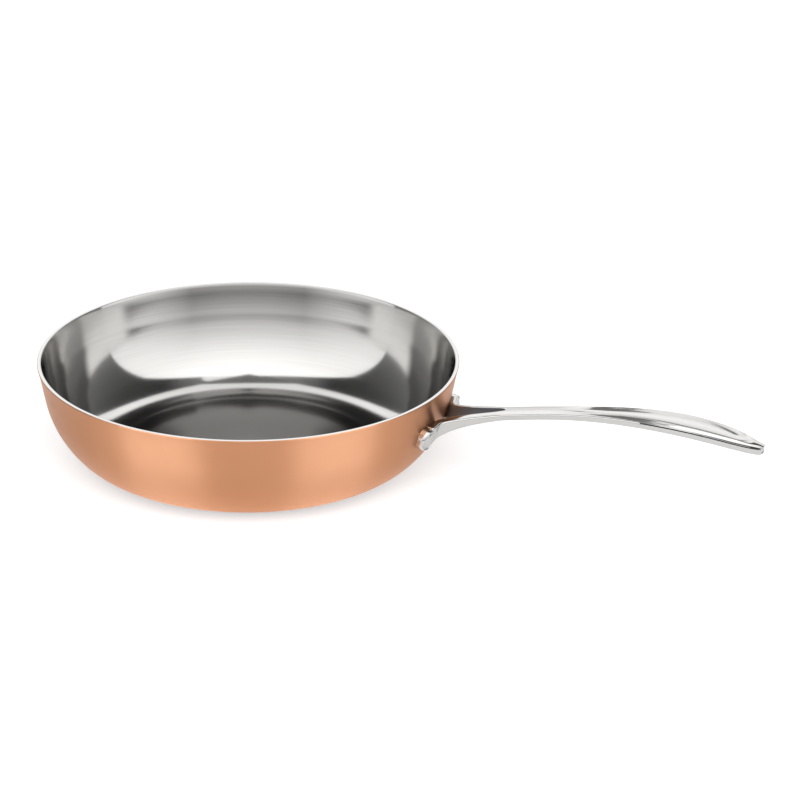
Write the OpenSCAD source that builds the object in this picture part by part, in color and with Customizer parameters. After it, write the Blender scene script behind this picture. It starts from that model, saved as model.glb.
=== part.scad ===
// Frying pan in three bonded metals, with a forked handle of cast steel held by two rivets.
// The origin is the centre of the flat underside. +Z is up and the handle points along +X.
// All lengths are millimetres and all angles are degrees.

/* [Pan] */
// Outer diameter across the rim
pan_d = 240; // [220:5:300]
// Height of the rim above the worktop
pan_h = 59; // [54:1:80]
// Lean of the straight part of the wall from upright
wall_lean = 11.3; // [8:0.1:22]
// Outer radius of the tight bend where the underside turns up
heel_r = 36.5; // [24:0.5:44]
// Angle through which the tight bend turns
heel_turn = 48; // [35:1:60]
// Outer radius of the wide bend between the tight bend and the wall
belly_r = 57.5; // [46:0.5:60]
// Radius of the slight outward flare at the rim
lip_r = 70; // [50:5:120]
// Angle through which the rim flares
lip_turn = 5.2; // [0.5:0.1:8]
// Thickness of the copper skin
copper_t = 0.4; // [0.2:0.1:1]
// Thickness of the aluminium core
core_t = 1.4; // [0.8:0.1:3]
// Thickness of the steel liner
liner_t = 0.5; // [0.3:0.1:1]
// Rounding of the rim's outer edge
rim_outer_round = 0.6; // [0.2:0.1:0.8]
// Rounding of the rim's inner edge
rim_inner_round = 0.3; // [0.1:0.1:0.5]

/* [Rivets] */
// Distance between the two rivets, where they pass the outside of the wall
rivet_spacing = 50; // [44:1:64]
// Height of the rivets above the worktop
rivet_z = 35.8; // [35:0.1:44]
// Diameter of the shank
shank_d = 6; // [4:0.5:8]
// Diameter of the outer head
head_d = 10; // [9:0.5:11]
// Height of the outer head's dome
head_h = 1.8; // [1:0.1:3]
// Diameter of the head inside the pan
inner_head_d = 12; // [10:0.5:14]
// Height of the head inside the pan
inner_head_h = 1.5; // [1:0.1:3]
// Clearance around the shank
rivet_gap = 0.1; // [0.05:0.05:0.3]

/* [Handle] */
// Length of the handle beyond the rim
handle_l = 180; // [150:5:240]
// Height of the grip's edge at the tip, above the worktop
tip_z = 46.5; // [30:0.5:70]
// Slope of the handle where it leaves the pan
root_rise = 10.3; // [4:0.5:20]
// Slope of the handle at its tip
tip_drop = 17; // [6:1:26]
// Distance from the rim to the fork's crotch
fork_l = 32.5; // [26:0.5:45]
// Width of the neck
neck_w = 13.4; // [11:0.2:18]
// Distance from the rim to where the neck starts to widen
neck_l = 58; // [50:1:70]
// Greatest width of the grip
grip_w = 22.8; // [18:0.2:30]
// Height of the side face along the neck
neck_side = 3.3; // [2:0.1:4]
// Height of the side face along the grip
grip_side = 3.9; // [2.5:0.1:5]
// Height of the neck's crown above its edges
crown_h = 1; // [0.6:0.1:2]
// Width of each arm of the fork
arm_w = 4.9; // [4:0.1:6]
// Height of an arm where it meets its ear
arm_h = 10.6; // [8:0.1:11.4]
// Diameter of the ears
ear_d = 13; // [12:0.2:15]
// Thickness of the ears
ear_t = 4.6; // [4:0.1:7]
// Rounding of the ears' outer edge
ear_round = 0.8; // [0.3:0.1:1]
// Depth of the round recess in which each outer head sits
recess_depth = 0.6; // [0.3:0.1:1]
// Clearance between the handle and the wall
seat_gap = 0.1; // [0.05:0.05:0.3]

/* [Dish] */
// Distance from the rim to the point where the dish starts
dish_start = 60; // [56:1:75]
// Depth of the dish below its raised edge
dish_depth = 2; // [1:0.1:2.6]
// Height of the dish's raised edge above the grip's outer edge
dish_lip_h = 1.6; // [0.6:0.1:2]
// Width of the grip's rounded border outside the raised edge
dish_border = 3; // [2:0.1:4]
// Distance from the tip to the end of the dish
dish_end = 6; // [4:0.5:10]

/* [Hidden] */

// Points along each bend of the wall, and along each round edge
bend_steps = 9;
edge_steps = 4;
// How far a cut runs past what it cuts
over = 1;

// The wall's outer face, from the underside to the rim: tight bend, wide bend, straight wall, flare.
// Angles are those of the tangent above level.
rim_r = pan_d / 2;
sheet_t = copper_t + core_t + liner_t;
wall_turn = 90 - wall_lean;
lip_end_turn = wall_turn - lip_turn;
lip_centre = [rim_r + lip_r * sin(lip_end_turn), pan_h - lip_r * cos(lip_end_turn)];
wall_top = lip_centre - lip_r * [sin(wall_turn), -cos(wall_turn)];
belly_centre_z = heel_r - (heel_r - belly_r) * cos(heel_turn);
wall_foot_z = belly_centre_z - belly_r * cos(wall_turn);
wall_foot_r = wall_top[0] - (wall_top[1] - wall_foot_z) / tan(wall_turn);
belly_centre = [wall_foot_r - belly_r * sin(wall_turn), belly_centre_z];
heel_centre = [belly_centre[0] - (heel_r - belly_r) * sin(heel_turn), heel_r];

// Points of an arc that is walked from one tangent angle to another
function bend(centre, r, from, to) =
    [for (k = [0 : bend_steps]) let (a = from + (to - from) * k / bend_steps) centre + r * [sin(a), -cos(a)]];
// Tangent angle at which the flare, set in from the outer face, reaches a height
function lip_turn_at(inset, z) = acos((z - lip_centre[1]) / (lip_r + inset));
// Radius of the flare, set in from the outer face, at a height
function lip_x(inset, z) = lip_centre[0] - (lip_r + inset) * sin(lip_turn_at(inset, z));
// The face that lies a given inset inside the outer face, from the axis up to a height at the rim
function face(inset, top) = concat(
    [[0, inset]],
    bend(heel_centre, heel_r - inset, 0, heel_turn),
    bend(belly_centre, belly_r - inset, heel_turn, wall_turn),
    bend(lip_centre, -(lip_r + inset), wall_turn, lip_turn_at(inset, top)));
// Drop of a round edge below the rim's top, at a distance in from the side that it rounds
function round_drop(r, d) = d < r ? r - sqrt(max(0, r^2 - (r - d)^2)) : 0;
// Height of the rounded rim at an inset
function rim_top(inset) = pan_h - round_drop(rim_outer_round, inset)
    - round_drop(rim_inner_round, sheet_t - inset);
function reversed(list) = [for (k = [len(list) - 1 : -1 : 0]) list[k]];
// Tangent angle and outer radius of the wall at a height, on the straight wall or on the wide bend
function wall_turn_at(z) = z < wall_foot_z ? acos((belly_centre_z - z) / belly_r) : wall_turn;
function wall_r(z) = z < wall_foot_z ? belly_centre[0] + belly_r * sin(wall_turn_at(z))
    : wall_foot_r + (z - wall_foot_z) / tan(wall_turn);

// One bonded layer, between two insets from the outer face
module layer(outer, inner) {
    rim_edge = [for (k = [1 : 2 * edge_steps - 1])
        let (inset = outer + (inner - outer) * k / (2 * edge_steps), z = rim_top(inset))
            [lip_x(inset, z), z]];
    difference() {
        rotate_extrude($fn = 180)
            polygon(concat(face(outer, rim_top(outer)), rim_edge, reversed(face(inner, rim_top(inner)))));
        both_rivets() shank_hole();
    }
}

// Rivets. Each stands square to the wall, with its own +Z pointing out of the pan. The flat back of the
// inner head clears the hollow of the wide bend.
rivet_turn = asin(rivet_spacing / 2 / wall_r(rivet_z));
rivet_lean = 90 - wall_turn_at(rivet_z);
head_seat = ear_t - recess_depth;
inner_seat = sheet_t + seat_gap + inner_head_d^2 / 8 / (belly_r - sheet_t);

module rivet_place(side)
    rotate([0, 0, side * rivet_turn]) translate([wall_r(rivet_z), 0, rivet_z])
        rotate([0, 90 + rivet_lean, 0]) children();
module both_rivets() for (side = [-1, 1]) rivet_place(side) children();
module shank_hole()
    translate([0, 0, -sheet_t - over])
        cylinder(d = shank_d + 2 * rivet_gap, h = sheet_t + ear_t + 2 * over, $fn = 48);

// A domed head that stands on z = 0
module dome(d, h) {
    dome_r = (d^2 / 4 + h^2) / (2 * h);
    dome_turn = asin(d / 2 / dome_r);
    rotate_extrude($fn = 64)
        polygon(concat([[0, 0]],
            [for (k = [edge_steps * 2 : -1 : 0]) let (a = dome_turn * k / (edge_steps * 2))
                [dome_r * sin(a), h - dome_r + dome_r * cos(a)]]));
}

module rivet(side) rivet_place(side) {
    translate([0, 0, head_seat]) dome(head_d, head_h);
    translate([0, 0, -inner_seat]) cylinder(d = shank_d, h = inner_seat + head_seat, $fn = 48);
    translate([0, 0, -inner_seat]) mirror([0, 0, 1]) dome(inner_head_d, inner_head_h);
}

// Handle. Its edge line is a smooth arch over x, from the ears to the tip.
tip_x = rim_r + handle_l;
crotch_x = rim_r + fork_l;
ear_x = wall_r(rivet_z) + ear_t * cos(rivet_lean);
ear_top_z = rivet_z - ear_t / 2 * sin(rivet_lean) + ear_d / 2 * cos(rivet_lean);
dish_start_x = rim_r + dish_start;
dish_end_x = tip_x - dish_end;
grip_start_x = rim_r + neck_l;
grip_span = tip_x - grip_start_x;

// Shares of the grip's length: where it is widest, and where it starts to close to the tip
grip_wide_share = 0.62;
grip_close_share = 0.6;
// Shares of the half width: the first round of the crown, and the crest where the dish starts
crown_mid_share = 0.45;
crest_start_share = 0.4;
// Share of the side face that is gone at the very tip, where the underside rounds up
tip_rise_share = 0.9;
// Powers of the curve that rounds the tip, and of an arm's growth in height towards the wall
tip_power = 2.6;
arm_power = 1.4;
// Half width of the strip along the handle's middle, which ends in the fork's crotch, as a share of an
// arm's width, and the most and least of it as shares of the half widths round it
spine_share = 0.28;
spine_max_share = 0.6;
crest_min_share = 1.5;
// Round edges: rounding as a share of the neck's side face, the most of it as a share of the half width,
// how far in it starts at the top and at the underside, and how high it starts
edge_round_share = 0.22;
edge_max_share = 0.3;
edge_in_shares = [1.6, 1.5];
edge_up_share = 0.4;
// Depth of the belly under the handle, as a share of the neck's side face
belly_share = 0.3;
// Heights of the crown halfway out and at its crest, as shares of its height in the middle
crown_height_shares = [0.98, 0.86];
// Where the dish's floor turns up, as shares of the raised edge's half width and of the dish's depth,
// and the length in which the dish closes, as a share of its distance from the tip
dish_turn_shares = [0.66, 0.62];
dish_close_share = 1.6;
// Crown of an arm, from its inner side outwards, as shares of its half width and of its height
arm_crown_shares = [[-1, 1], [-0.4, 0.95], [0.3, 0.6]];
// Shares along the arms: the fork's length that an arm aims along, the ear's thickness over which it
// swings flat, the ear's diameter at which it is flat, the crown that is left at the ear, and how far
// an arm runs on into its ear, towards the ear's middle
arm_reach_share = 0.76;
arm_swing_share = 1.9;
flat_share = 0.56;
arm_crown_share = 0.4;
arm_end_share = 0.8;
// Turn of each arm away from the handle's middle at the crotch
arm_spread = 9;
// Sections along the grip, along each arm's curve, and from there to its end inside the ear
grip_steps = 26;
arm_steps = 12;
ear_steps = 3;
// Clearance round each outer head in its recess
head_gap = 0.4;
// Rounding of the handle's long edges, the belly under it, and the strip along its middle
edge_round = neck_side * edge_round_share;
belly_h = neck_side * belly_share;
spine = arm_w * spine_share;

function clamp01(u) = min(1, max(0, u));
function ease(u) = let (c = clamp01(u)) c * c * (3 - 2 * c);
function mix(a, b, u) = a + (b - a) * u;

// Height of the edge line at x
function edge_z(x) = let (span = tip_x - ear_x, u = max(0, (x - ear_x) / span))
    (1 + 2 * u) * (1 - u)^2 * ear_top_z + u * (1 - u)^2 * span * tan(root_rise)
    + u^2 * (3 - 2 * u) * tip_z + u^2 * (1 - u) * span * tan(tip_drop);
// Half width of the outline at x, from the crotch to the tip
function half_w(x) =
    let (u = (x - grip_start_x) / grip_span, wide = mix(neck_w, grip_w, ease(u / grip_wide_share)) / 2,
         close = clamp01((u - grip_close_share) / (1 - grip_close_share)))
    max(edge_round, wide * sqrt(1 - close^tip_power));
// Half width of the dish's raised edge at x
function crest_w(x) =
    let (grow = clamp01((x - dish_start_x) / (grip_span * grip_wide_share - dish_start_x + grip_start_x)),
         full = max(half_w(x) - dish_border, spine * crest_min_share))
    min(full, mix(neck_w / 2 * crest_start_share, grip_w / 2 - dish_border, grow));

// Share of the full dish at x: none along the neck, all along the grip, none at the end
dish_close_l = dish_end * dish_close_share;
function dish(x) = ease((x - dish_start_x) / (grip_span * grip_close_share / 2))
    * ease((dish_end_x - x) / dish_close_l);
// Height of the side face at x, which the rounded underside takes away at the very tip
function side_h(x) = mix(neck_side, grip_side, ease((x - grip_start_x) / grip_span))
    * sqrt(1 - tip_rise_share * clamp01(1 - (tip_x - x) / grip_side)^2);

// Half of a cross-section at x, from the middle of the top round the outer edge to the middle of the
// underside, as [y, z]
function half_section(x) =
    let (w = half_w(x), c = crest_w(x), z = edge_z(x), s = side_h(x), d = dish(x),
         raise = mix(crown_h, dish_lip_h, ease((x - dish_start_x) / (grip_span / 2))),
         round = min(edge_round, w * edge_max_share))
    [[min(spine, c * spine_max_share), z + raise - dish_depth * d],
     [c * mix(crown_mid_share, dish_turn_shares[0], d),
      z + raise * crown_height_shares[0] - dish_depth * d * dish_turn_shares[1]],
     [c, z + raise * mix(crown_height_shares[1], 1, d)],
     [max(c + round, w - round * edge_in_shares[0]), z + round * edge_up_share],
     [w, z - round],
     [w, z - s + round],
     [w - round * edge_in_shares[1], z - s],
     [min(spine, w * edge_max_share), z - s - belly_h]];

// Arms. Each runs from the crotch towards the wall along a curve in plan, and then along the wall.
arm_mid_r = wall_r(rivet_z) + ear_t / 2 * cos(rivet_lean);
// Turn about the pan's axis at which the arm lies flat against the wall
flat_turn = rivet_turn - asin(ear_d * flat_share / arm_mid_r);
arm_start = [crotch_x, half_w(crotch_x) - arm_w / 2];
arm_aim = arm_start + fork_l * arm_reach_share * [-cos(arm_spread), sin(arm_spread)];
arm_flat = arm_mid_r * [cos(flat_turn), sin(flat_turn)];
arm_swing = arm_flat + ear_t * arm_swing_share * [sin(flat_turn), -cos(flat_turn)];
function arm_point(t) = (1 - t)^3 * arm_start + 3 * (1 - t)^2 * t * arm_aim
    + 3 * (1 - t) * t^2 * arm_swing + t^3 * arm_flat;
function arm_way(t) = let (v = (1 - t)^2 * (arm_aim - arm_start) + 2 * (1 - t) * t * (arm_swing - arm_aim)
    + t^2 * (arm_flat - arm_swing)) v / norm(v);

// One cross-section of the far arm at a plan point, square to its way. along runs from 0 at the
// crotch to 1 at the wall, where the section leans with the wall and its inner side runs into the wall,
// to be cut to it.
function arm_loop(point, way, along) =
    let (out = [way[1], -way[0]], top = edge_z(point[0]), h = mix(neck_side, arm_h, along^arm_power),
         lean = rivet_lean * ease(2 * along - 1), w = arm_w / 2, r = edge_round,
         rise = crown_h * mix(1, arm_crown_share, along), sag = belly_h * (1 - along),
         inner = w + over * ease(2 * along - 1))
    [for (q = concat(
            [for (share = arm_crown_shares) [(share[0] < 0 ? inner : w) * share[0], rise * share[1]]],
            [[w - r, r * edge_up_share], [w, -r], [w, r - h], [w - r, -h], [-inner, -h - sag]]))
        let (a = q[0] + (q[1] + h / 2) * tan(lean)) concat(point + out * a, top + q[1])];
arm_loops = concat(
    [for (k = [1 : arm_steps]) let (t = k / arm_steps) arm_loop(arm_point(t), arm_way(t), t)],
    [for (k = [1 : ear_steps]) let (a = mix(flat_turn, rivet_turn, arm_end_share * k / ear_steps))
        arm_loop(arm_mid_r * [cos(a), sin(a)], [-sin(a), cos(a)], 1)]);

// Stations from the crotch to the tip, closer together towards the tip
function station_x(k) = crotch_x + (tip_x - crotch_x) * sin(90 * k / grip_steps);
grip_loops = [for (k = [0 : grip_steps]) let (half = half_section(station_x(k)))
    concat([for (q = half) [station_x(k), q[0], q[1]]],
           [for (q = reversed(half)) [station_x(k), -q[0], q[1]]])];

// The handle's skin. The first loop of the grip splits into the first loops of the two arms, and the
// crotch's wall closes the strip between them.
half_n = 8;
loop_n = 2 * half_n;
near_arm_loops = [for (loop = arm_loops) [for (q = reversed(loop)) [q[0], -q[1], q[2]]]];
skin_points = concat([for (loop = grip_loops) each loop], [for (loop = arm_loops) each loop],
    [for (loop = near_arm_loops) each loop]);
function index_loop(start, n) = [for (j = [0 : n - 1]) start + j];
function loops_at(start, count, n) = [for (k = [0 : count - 1]) index_loop(start + k * n, n)];
function band(a, b) = [for (j = [0 : len(a) - 1]) let (i = (j + 1) % len(a))
    each [[a[j], b[i], a[i]], [a[j], b[j], b[i]]]];
function bands(loops) = [for (k = [1 : len(loops) - 1]) each band(loops[k - 1], loops[k])];
grip_n = grip_steps + 1;
arm_n = arm_steps + ear_steps;
grip_index = loops_at(0, grip_n, loop_n);
far_index = concat([index_loop(0, half_n)], loops_at(grip_n * loop_n, arm_n, half_n));
near_index = concat([index_loop(half_n, half_n)],
    loops_at(grip_n * loop_n + arm_n * half_n, arm_n, half_n));
skin_faces = concat(
    bands(reversed(grip_index)), bands(far_index), bands(near_index),
    [[loop_n - 1, half_n, half_n - 1, 0], grip_index[grip_steps],
     reversed(far_index[arm_n]), reversed(near_index[arm_n])]);

// An ear: a thick disc with a rounded outer edge, which starts inside the wall and is cut to it
module ear() rotate_extrude($fn = 64)
    polygon(concat([[0, -over], [ear_d / 2, -over]],
        [for (k = [0 : edge_steps]) let (a = 90 * k / edge_steps)
            [ear_d / 2 - ear_round * (1 - cos(a)), ear_t - ear_round * (1 - sin(a))]],
        [[0, ear_t]]));

module handle() color("gainsboro") difference() {
    union() {
        polyhedron(skin_points, skin_faces, convexity = 6);
        both_rivets() ear();
    }
    rotate_extrude($fn = 180) polygon(concat(
        face(-seat_gap, pan_h), [[lip_x(-seat_gap, pan_h), pan_h + over], [0, pan_h + over]]));
    both_rivets() {
        shank_hole();
        translate([0, 0, head_seat]) cylinder(d = head_d + 2 * head_gap, h = recess_depth + over, $fn = 64);
    }
}

module copper_shell() color("peru") layer(0, copper_t);
module aluminium_core() color("silver") layer(copper_t, copper_t + core_t);
module steel_liner() color("lightgray") layer(copper_t + core_t, sheet_t);
module left_rivet() color("whitesmoke") rivet(-1);
module right_rivet() color("whitesmoke") rivet(1);

copper_shell();
aluminium_core();
steel_liner();
handle();
left_rivet();
right_rivet();
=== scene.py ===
# Copper frying pan with a riveted steel handle
import math

import bmesh
import bpy
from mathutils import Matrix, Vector


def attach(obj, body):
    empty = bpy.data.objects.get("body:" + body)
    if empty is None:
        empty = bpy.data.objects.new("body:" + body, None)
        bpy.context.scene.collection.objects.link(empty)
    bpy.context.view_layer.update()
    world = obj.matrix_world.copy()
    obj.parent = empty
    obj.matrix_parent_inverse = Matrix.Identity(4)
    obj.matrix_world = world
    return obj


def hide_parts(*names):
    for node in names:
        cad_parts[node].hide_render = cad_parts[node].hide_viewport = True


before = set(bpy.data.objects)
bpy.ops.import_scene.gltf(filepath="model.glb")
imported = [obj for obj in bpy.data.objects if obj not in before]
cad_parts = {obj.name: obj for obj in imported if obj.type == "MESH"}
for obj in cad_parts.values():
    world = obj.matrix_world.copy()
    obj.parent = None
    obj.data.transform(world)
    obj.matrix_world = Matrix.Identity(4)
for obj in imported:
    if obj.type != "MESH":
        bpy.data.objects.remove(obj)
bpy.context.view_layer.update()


# Camera
# A long lens two metres off, looking down 22 degrees on the pan with the handle to the right.
eye = bpy.data.objects.new("camera", bpy.data.cameras.new("camera"))
bpy.context.scene.collection.objects.link(eye)
bpy.context.scene.camera = eye
eye.data.lens = 162.0
eye.data.sensor_width = 36.0
eye.data.clip_end = 60.0
eye.location = (0.663870, -1.775601, 0.833825)
eye.rotation_euler = [math.radians(a) for a in (67.0925, -0.6027, 18.1444)]


# Copper shell
# The pan's outside is a thin copper skin, the outer layer of a three-layer sheet that is drawn into
# the pan's shape. It was spun against polishing cloth, which leaves a bright face with very fine
# lines that run round the pan.

# Lengths are in millimetres, and turns in degrees above level. The rim's radius is a hundredth of a
# millimetre under 120, so that this finer circle stays inside the box of the part's facets.
PAN_R, PAN_H = 119.99, 59.0
SHEET = {"copper": (0.0, 0.4), "core": (0.4, 1.8), "liner": (1.8, 2.3)}
HEEL_R, HEEL_TURN = 36.5, 48.0
BELLY_R, WALL_TURN = 57.5, 78.7
LIP_R, LIP_END_TURN = 70.0, 73.5
RIM_OUTER_ROUND, RIM_INNER_ROUND = 0.6, 0.3
FLAT_SHARES = (0.0, 0.3, 0.6, 0.85)
RIM_STEPS = 10
STEPS_ROUND = 288
SHARP_EDGE, SAME_POINT = math.radians(38), 2e-7


def sind(a):
    return math.sin(math.radians(a))


def cosd(a):
    return math.cos(math.radians(a))


LIP_CENTRE = (PAN_R + LIP_R * sind(LIP_END_TURN), PAN_H - LIP_R * cosd(LIP_END_TURN))
WALL_TOP = (LIP_CENTRE[0] - LIP_R * sind(WALL_TURN), LIP_CENTRE[1] + LIP_R * cosd(WALL_TURN))
BELLY_Z = HEEL_R - (HEEL_R - BELLY_R) * cosd(HEEL_TURN)
WALL_FOOT_Z = BELLY_Z - BELLY_R * cosd(WALL_TURN)
WALL_FOOT_R = WALL_TOP[0] - (WALL_TOP[1] - WALL_FOOT_Z) / math.tan(math.radians(WALL_TURN))
BELLY_CENTRE = (WALL_FOOT_R - BELLY_R * sind(WALL_TURN), BELLY_Z)
HEEL_CENTRE = (BELLY_CENTRE[0] - (HEEL_R - BELLY_R) * sind(HEEL_TURN), HEEL_R)


def arc(centre, radius, start, end, step=2.0):
    """Points of an arc whose tangent turns from one angle above level to another."""
    count = max(1, round(abs(end - start) / step))
    turns = [start + (end - start) * k / count for k in range(count + 1)]
    return [(centre[0] + radius * sind(a), centre[1] - radius * cosd(a)) for a in turns]


def lip_turn_at(inset, z):
    """The turn of the lip's face at a height, for the face a given inset inside the outer one."""
    return math.degrees(math.acos((z - LIP_CENTRE[1]) / (LIP_R + inset)))


def lip_x(inset, z):
    """The radius of that face there."""
    return LIP_CENTRE[0] - (LIP_R + inset) * sind(lip_turn_at(inset, z))


def face_line(inset, top):
    """The face a given inset inside the outer one, from the axis up to a height at the rim."""
    flat = [(HEEL_CENTRE[0] * share, inset) for share in FLAT_SHARES]
    return (flat + arc(HEEL_CENTRE, HEEL_R - inset, 0.0, HEEL_TURN)
            + arc(BELLY_CENTRE, BELLY_R - inset, HEEL_TURN, WALL_TURN)[1:]
            + arc(LIP_CENTRE, -(LIP_R + inset), WALL_TURN, lip_turn_at(inset, top), 1.0))


def round_drop(radius, depth):
    """How far a rounded edge has dropped at a depth inside the face that it starts from."""
    if depth >= radius:
        return 0.0
    return radius - math.sqrt(max(0.0, radius ** 2 - (radius - depth) ** 2))


def rim_top(inset):
    """Height of the cut rim at an inset, rounded a little at its outer and inner edges."""
    full = SHEET["liner"][1]
    return PAN_H - round_drop(RIM_OUTER_ROUND, inset) - round_drop(RIM_INNER_ROUND, full - inset)


def layer_line(outer, inner):
    """The closed outline of one layer: up its outer face, over the rim and down its inner face."""
    rim = []
    for k in range(1, RIM_STEPS):
        inset = outer + (inner - outer) * (1 - cosd(180 / RIM_STEPS * k)) / 2
        rim.append((lip_x(inset, rim_top(inset)), rim_top(inset)))
    return face_line(outer, rim_top(outer)) + rim + face_line(inner, rim_top(inner))[::-1]


def linear(code):
    """An sRGB hex colour as the linear colour that a shader takes."""
    parts = [int(code[k:k + 2], 16) / 255 for k in (1, 3, 5)]
    light = [c / 12.92 if c <= 0.04045 else ((c + 0.055) / 1.055) ** 2.4 for c in parts]
    return (*light, 1.0)


def add(tree, kind, inputs=None, **settings):
    """Adds a node to a tree, with its settings, and sets or links its inputs."""
    made = tree.nodes.new(kind)
    for name, value in settings.items():
        setattr(made, name, value)
    for name, value in (inputs or {}).items():
        if isinstance(value, bpy.types.NodeSocket):
            tree.links.new(value, made.inputs[name])
        else:
            made.inputs[name].default_value = value
    return made


# The lathe that turns a piece's outline round its axis, and sets it in its place on the pan
lathe = bpy.data.node_groups.new("lathe", "GeometryNodeTree")
lathe.interface.new_socket("Geometry", in_out="INPUT", socket_type="NodeSocketGeometry")
for name, kind in (("Steps round", "NodeSocketInt"), ("Lean", "NodeSocketFloat"),
                   ("Turn", "NodeSocketFloat"), ("Place", "NodeSocketVector"),
                   ("Finish", "NodeSocketMaterial")):
    lathe.interface.new_socket(name, in_out="INPUT", socket_type=kind)
lathe.interface.new_socket("Geometry", in_out="OUTPUT", socket_type="NodeSocketGeometry")
given = add(lathe, "NodeGroupInput").outputs
outline_size = add(lathe, "GeometryNodeAttributeDomainSize", {"Geometry": given["Geometry"]},
                   component="MESH")
steps_and_one = add(lathe, "ShaderNodeMath", {0: given["Steps round"], 1: 1.0}, operation="ADD")
sheet = add(lathe, "GeometryNodeMeshGrid", {"Vertices X": outline_size.outputs["Point Count"],
                                            "Vertices Y": steps_and_one.outputs[0]})
index = add(lathe, "GeometryNodeInputIndex")
row = add(lathe, "ShaderNodeMath", {0: index.outputs[0], 1: steps_and_one.outputs[0]},
          operation="DIVIDE")
row = add(lathe, "ShaderNodeMath", {0: row.outputs[0]}, operation="FLOOR")
step = add(lathe, "ShaderNodeMath", {0: index.outputs[0], 1: steps_and_one.outputs[0]},
           operation="FLOORED_MODULO")
where = add(lathe, "GeometryNodeInputPosition")
point = add(lathe, "GeometryNodeSampleIndex", {"Geometry": given["Geometry"]},
            data_type="FLOAT_VECTOR", domain="POINT")
lathe.links.new(where.outputs[0], point.inputs["Value"])
lathe.links.new(row.outputs[0], point.inputs["Index"])
point_parts = add(lathe, "ShaderNodeSeparateXYZ", {0: point.outputs[0]})
share = add(lathe, "ShaderNodeMath", {0: step.outputs[0], 1: given["Steps round"]},
            operation="DIVIDE")
angle = add(lathe, "ShaderNodeMath", {0: share.outputs[0], 1: 2 * math.pi}, operation="MULTIPLY")
turned = []
for operation in ("COSINE", "SINE"):
    part = add(lathe, "ShaderNodeMath", {0: angle.outputs[0]}, operation=operation)
    turned.append(add(lathe, "ShaderNodeMath", {0: part.outputs[0], 1: point_parts.outputs[0]},
                      operation="MULTIPLY"))
spot = add(lathe, "ShaderNodeCombineXYZ", {0: turned[0].outputs[0], 1: turned[1].outputs[0],
                                           2: point_parts.outputs[2]})
spun = add(lathe, "GeometryNodeSetPosition", {"Geometry": sheet.outputs["Mesh"],
                                              "Position": spot.outputs[0]})
spun = add(lathe, "GeometryNodeMergeByDistance", {"Geometry": spun.outputs[0],
                                                  "Distance": SAME_POINT})
spun = add(lathe, "GeometryNodeFlipFaces", {"Mesh": spun.outputs[0]})
spun = add(lathe, "GeometryNodeSetShadeSmooth", {"Geometry": spun.outputs[0]}, domain="FACE")
bend = add(lathe, "GeometryNodeInputMeshEdgeAngle")
sharp = add(lathe, "FunctionNodeCompare", {"A": bend.outputs[0], "B": SHARP_EDGE},
            data_type="FLOAT", operation="GREATER_THAN")
spun = add(lathe, "GeometryNodeSetShadeSmooth",
           {"Geometry": spun.outputs[0], "Selection": sharp.outputs[0], "Shade Smooth": False},
           domain="EDGE")
lean = add(lathe, "ShaderNodeCombineXYZ", {1: given["Lean"]})
spun = add(lathe, "GeometryNodeTransform", {"Geometry": spun.outputs[0],
                                            "Rotation": lean.outputs[0],
                                            "Translation": given["Place"]})
turn = add(lathe, "ShaderNodeCombineXYZ", {2: given["Turn"]})
spun = add(lathe, "GeometryNodeTransform", {"Geometry": spun.outputs[0],
                                            "Rotation": turn.outputs[0]})
spun = add(lathe, "GeometryNodeRealizeInstances", {"Geometry": spun.outputs[0]})
spun = add(lathe, "GeometryNodeSetMaterial", {"Geometry": spun.outputs[0],
                                              "Material": given["Finish"]})
add(lathe, "NodeGroupOutput", {"Geometry": spun.outputs[0]})


def turn_on_lathe(name, line, finish, steps=STEPS_ROUND, lean=0.0, turn=0.0, place=(0.0, 0.0, 0.0)):
    """Turns an outline given in millimetres, and returns the finished piece as a plain mesh."""
    chain = bpy.data.meshes.new(name + "_outline")
    chain.from_pydata([(r / 1000, 0.0, z / 1000) for r, z in line],
                      [(k, k + 1) for k in range(len(line) - 1)], [])
    piece = bpy.data.objects.new(name, chain)
    bpy.context.scene.collection.objects.link(piece)
    worker = piece.modifiers.new("lathe", "NODES")
    worker.node_group = lathe
    sockets = {item.name: item.identifier for item in lathe.interface.items_tree
               if item.in_out == "INPUT"}
    for label, value in (("Steps round", steps), ("Lean", math.radians(lean)),
                         ("Turn", math.radians(turn)), ("Place", [v / 1000 for v in place]),
                         ("Finish", finish)):
        worker[sockets[label]] = value
    settled = piece.evaluated_get(bpy.context.evaluated_depsgraph_get())
    solid = bpy.data.meshes.new_from_object(settled)
    solid.name = name
    piece.modifiers.remove(worker)
    piece.data = solid
    bpy.data.meshes.remove(chain)
    return piece


def new_material(name, same_all_over):
    """A material whose shader has these even settings, and the tree to build the rest on."""
    material = bpy.data.materials.new(name)
    material.use_nodes = True
    shader = material.node_tree.nodes["Principled BSDF"]
    for socket, value in same_all_over.items():
        shader.inputs[socket].default_value = value
    return material, material.node_tree, shader


def feed(tree, shader, sources):
    """Links what varies over a surface to its shader."""
    for socket, source in sources.items():
        tree.links.new(source, shader.inputs[socket])


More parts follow.
